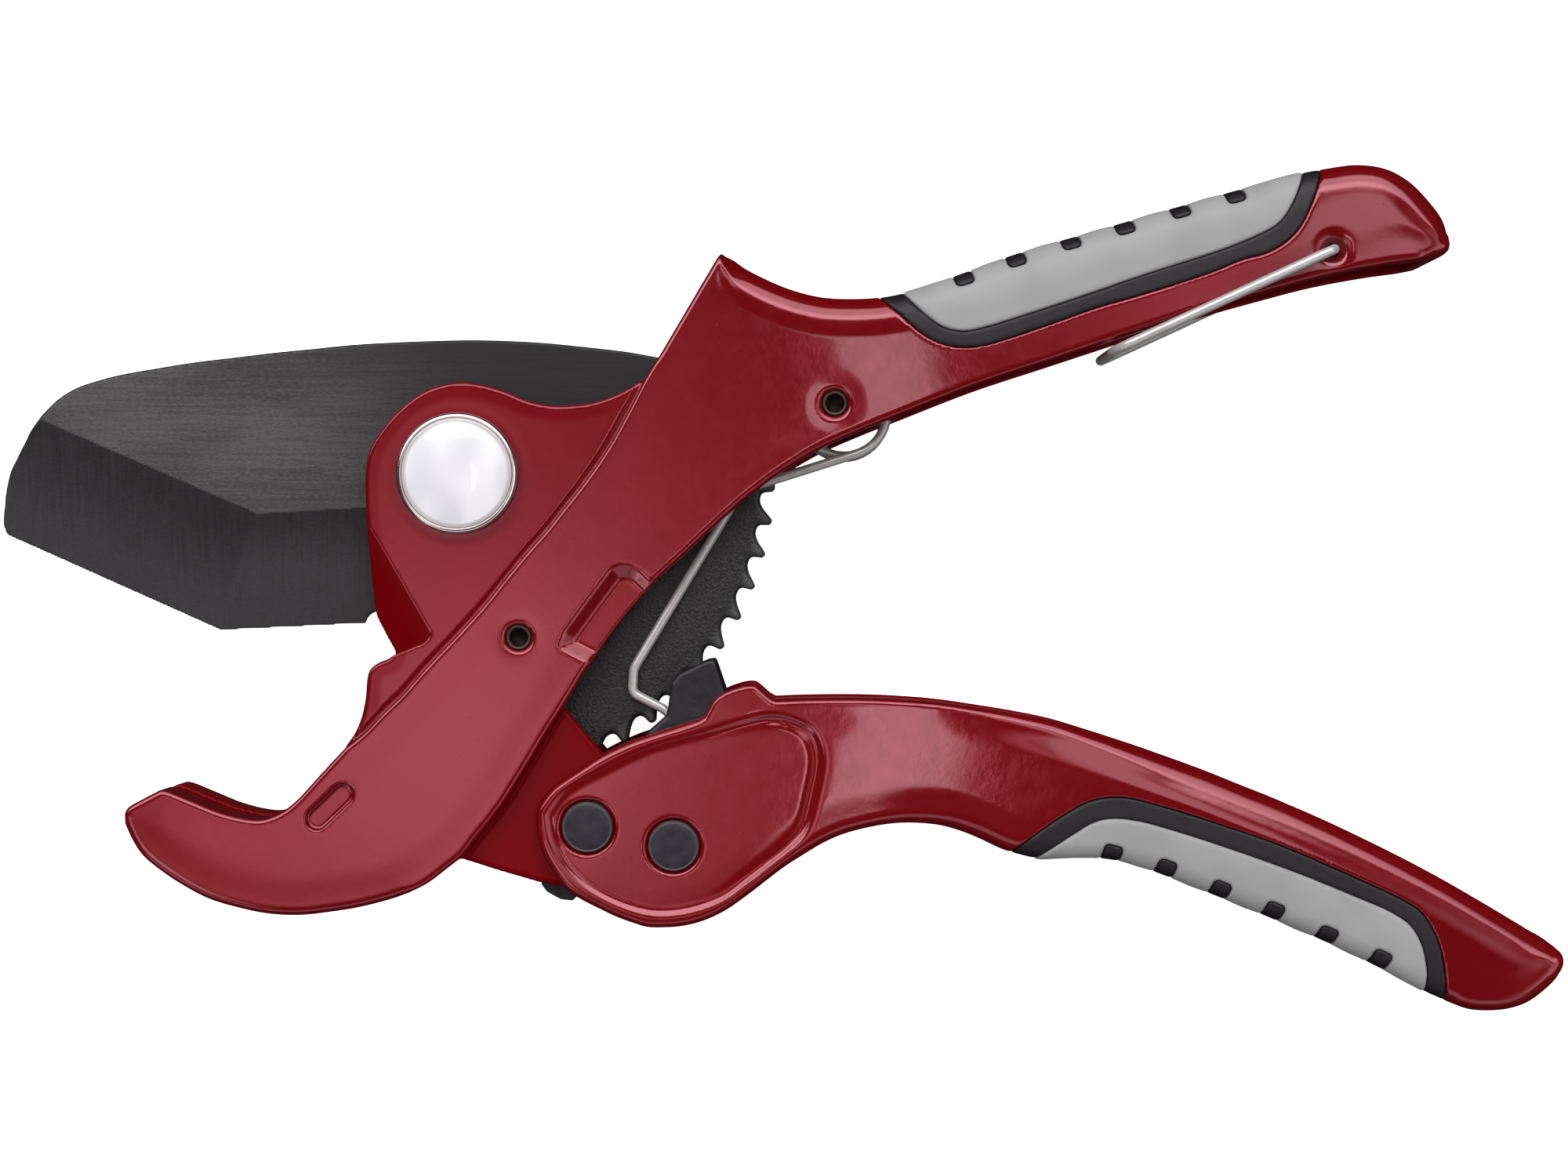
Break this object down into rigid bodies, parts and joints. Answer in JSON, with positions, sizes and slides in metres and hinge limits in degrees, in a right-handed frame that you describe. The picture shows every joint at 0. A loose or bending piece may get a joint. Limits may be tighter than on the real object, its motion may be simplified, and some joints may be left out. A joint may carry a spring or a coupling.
{
  "type": "ratchet pvc pipe cutter",
  "caption": "Hand ratchet cutter for plastic pipe: hooked cast body, wide bevelled blade on a toothed sector, sprung pawls, padded handles and a wire lock bail.",
  "frame": {"origin": "blade pivot axis at mid thickness of the tool", "axes": "+X towards the handles, +Y towards the upper handle, +Z out of the front cheek along the blade pivot"},
  "size_m": [0.2465, 0.1324, 0.0248],
  "materials": {
    "red_casting": "gloss red enamel on a die casting",
    "blade_steel": "black, finely brushed, with ground bevels",
    "black_casting": "grainy black cast finish",
    "dark_steel": "blackened steel",
    "black_steel": "blackened pressed steel",
    "bright_chrome": "polished plating",
    "badge_white": "clear domed resin over a pearly white disc, blank",
    "spring_wire": "bright drawn wire",
    "grip_black": "satin black soft plastic",
    "grip_grey": "satin grey soft plastic"
  },
  "bodies": {
    "frame_body": {"body_casting": "red_casting", "pivot_bolt": "bright_chrome", "pivot_badge": "badge_white", "pivot_nut": "dark_steel", "pivot_bush": "dark_steel", "pivot_washers": "dark_steel", "blade_stop_pin": "dark_steel", "spring_pin": "dark_steel", "upper_grip_base": "grip_black", "upper_grip_pad": "grip_grey", "holding_pawl_spring": "spring_wire"},
    "blade_set": {"blade": "blade_steel", "ratchet_sector": "black_casting", "sector_dowels": "dark_steel"},
    "lower_handle_set": {"lower_handle": "red_casting", "handle_pivot_pin": "dark_steel", "pawl_pin": "dark_steel", "lower_grip_base": "grip_black", "lower_grip_pad": "grip_grey"},
    "drive_pawl_arm": {"drive_pawl": "black_steel"},
    "holding_pawl_arm": {"holding_pawl": "black_steel"},
    "return_spring_leg": {"return_spring": "spring_wire"},
    "lock_bail": {"handle_bail": "spring_wire"}
  },
  "joints": [
    {"name": "blade_swing", "type": "hinge", "parent": "frame_body", "child": "blade_set", "pos_m": [0, 0, 0], "axis": [0, 0, 1], "range_deg": [-31.25, 50]},
    {"name": "handle_swing", "type": "hinge", "parent": "frame_body", "child": "lower_handle_set", "pos_m": [0.02032, -0.05518, 0], "axis": [0, 0, 1], "range_deg": [0, 36]},
    {"name": "drive_pawl_swing", "type": "hinge", "parent": "lower_handle_set", "child": "drive_pawl_arm", "pos_m": [0.03377, -0.05811, 0], "axis": [0, 0, 1], "range_deg": [-46.5, 0.5]},
    {"name": "holding_pawl_swing", "type": "hinge", "parent": "frame_body", "child": "holding_pawl_arm", "pos_m": [0.02032, -0.05518, 0], "axis": [0, 0, 1], "range_deg": [0, 8], "deforming": ["holding_pawl_spring"]},
    {"name": "spring_hook_travel", "type": "slide", "parent": "frame_body", "child": "return_spring_leg", "axis": [0.2483, 0.9687, 0], "range_m": [-0.0001, 0.0082], "deforming": ["return_spring"]},
    {"name": "bail_swing", "type": "hinge", "parent": "frame_body", "child": "lock_bail", "pos_m": [0.13666, 0.03481, 0], "axis": [0, 0, 1], "range_deg": [0, 300]}
  ],
  "couplings": [
    {"joint": "drive_pawl_swing", "follows": "handle_swing", "ratio": -1.275},
    {"joint": "spring_hook_travel", "follows": "handle_swing", "m_per_rad": 0.0128}
  ]
}
